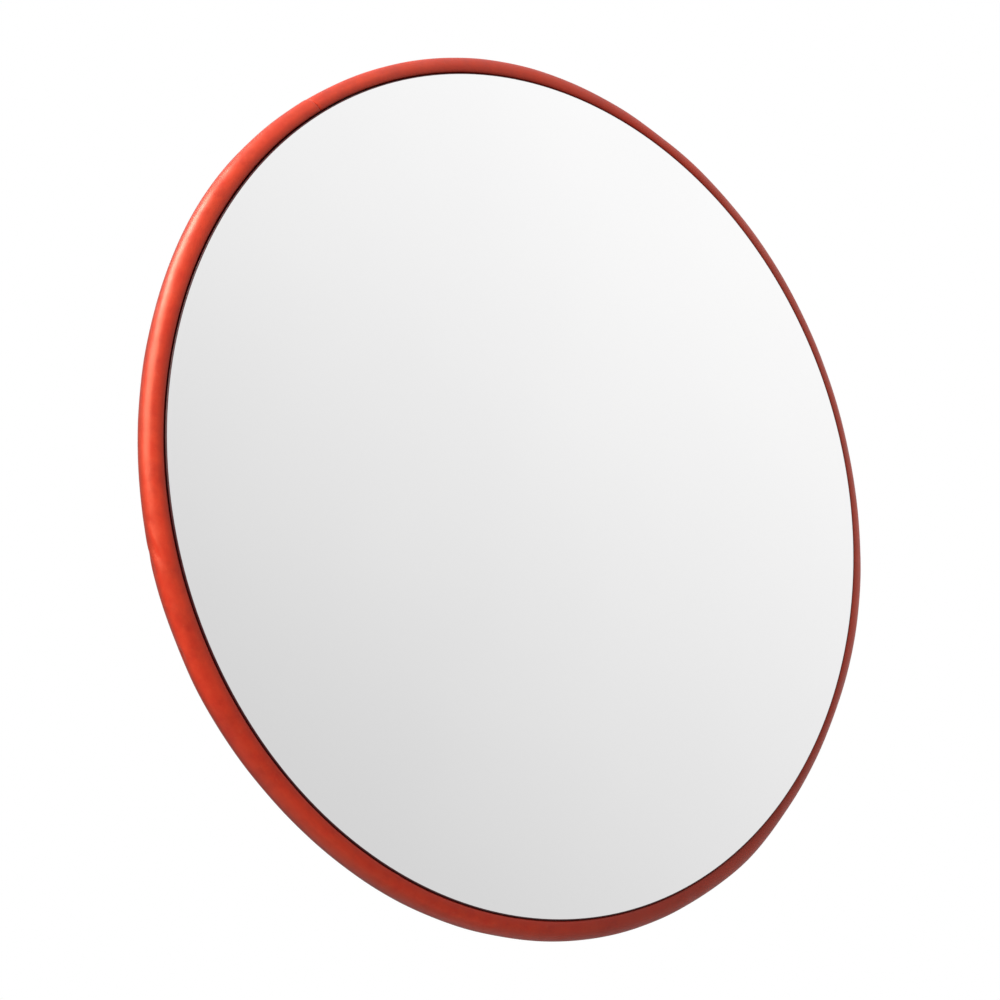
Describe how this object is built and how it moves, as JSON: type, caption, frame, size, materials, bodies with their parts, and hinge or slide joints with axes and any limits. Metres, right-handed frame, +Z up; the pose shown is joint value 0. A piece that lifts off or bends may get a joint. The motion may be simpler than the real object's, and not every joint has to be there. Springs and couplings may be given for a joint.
{
  "type": "traffic convex mirror",
  "caption": "Round convex road mirror with a soft edge trim and a moulded back, on a tilting yoke, a swivelling arm and a two-part post clamp.",
  "frame": {"origin": "on the post's axis, at the middle of the clamp's height", "axes": "the mirror faces -Y, +Z is up along the post, +X is to the right seen from in front of the mirror"},
  "size_m": [0.6, 0.308, 0.6],
  "materials": {
    "mirror": "polished",
    "edge_trim_pvc": "satin",
    "shell_plastic": "satin",
    "foam_seal": "matte",
    "black_rubber": "matte",
    "nylon": "satin",
    "galvanised_steel": "satin",
    "zinc_fasteners": "satin"
  },
  "bodies": {
    "post_clamp": {"pan_bolt": "zinc_fasteners", "pan_head_washer": "zinc_fasteners", "pan_washer": "zinc_fasteners", "pan_lock_washer": "zinc_fasteners", "pan_nut": "zinc_fasteners", "clamp_front": "galvanised_steel", "clamp_rear": "galvanised_steel", "clamp_liner_front": "black_rubber", "clamp_liner_rear": "black_rubber", "clamp_bolt_1": "zinc_fasteners", "clamp_washer_1": "zinc_fasteners", "clamp_lock_washer_1": "zinc_fasteners", "clamp_nut_1": "zinc_fasteners", "clamp_bolt_2": "zinc_fasteners", "clamp_washer_2": "zinc_fasteners", "clamp_lock_washer_2": "zinc_fasteners", "clamp_nut_2": "zinc_fasteners", "clamp_bolt_3": "zinc_fasteners", "clamp_washer_3": "zinc_fasteners", "clamp_lock_washer_3": "zinc_fasteners", "clamp_nut_3": "zinc_fasteners", "clamp_bolt_4": "zinc_fasteners", "clamp_washer_4": "zinc_fasteners", "clamp_lock_washer_4": "zinc_fasteners", "clamp_nut_4": "zinc_fasteners"},
    "arm": {"swivel_arm": "galvanised_steel", "tilt_friction_disc_left": "nylon", "tilt_friction_disc_right": "nylon", "pan_friction_disc_lower": "nylon", "pan_friction_disc_upper": "nylon"},
    "head": {"mirror_lens": "mirror", "lens_seal": "foam_seal", "edge_trim": "edge_trim_pvc", "back_shell": "shell_plastic", "stiffener_plate": "galvanised_steel", "mount_pad": "black_rubber", "yoke_bracket": "galvanised_steel", "seat_bolt_1": "zinc_fasteners", "seat_washer_1": "zinc_fasteners", "seat_lock_washer_1": "zinc_fasteners", "seat_nut_1": "zinc_fasteners", "seat_bolt_2": "zinc_fasteners", "seat_washer_2": "zinc_fasteners", "seat_lock_washer_2": "zinc_fasteners", "seat_nut_2": "zinc_fasteners", "seat_bolt_3": "zinc_fasteners", "seat_washer_3": "zinc_fasteners", "seat_lock_washer_3": "zinc_fasteners", "seat_nut_3": "zinc_fasteners", "seat_bolt_4": "zinc_fasteners", "seat_washer_4": "zinc_fasteners", "seat_lock_washer_4": "zinc_fasteners", "seat_nut_4": "zinc_fasteners", "tilt_bolt": "zinc_fasteners", "tilt_head_washer": "zinc_fasteners", "tilt_washer": "zinc_fasteners", "tilt_lock_washer": "zinc_fasteners", "tilt_nut": "zinc_fasteners"}
  },
  "joints": [
    {"name": "pan", "type": "hinge", "parent": "post_clamp", "child": "arm", "pos_m": [0, -0.072, 0], "axis": [0, 0, 1], "range_deg": [-60, 60]},
    {"name": "tilt", "type": "hinge", "parent": "arm", "child": "head", "pos_m": [0, -0.122, 0], "axis": [1, 0, 0], "range_deg": [-25, 25]}
  ]
}
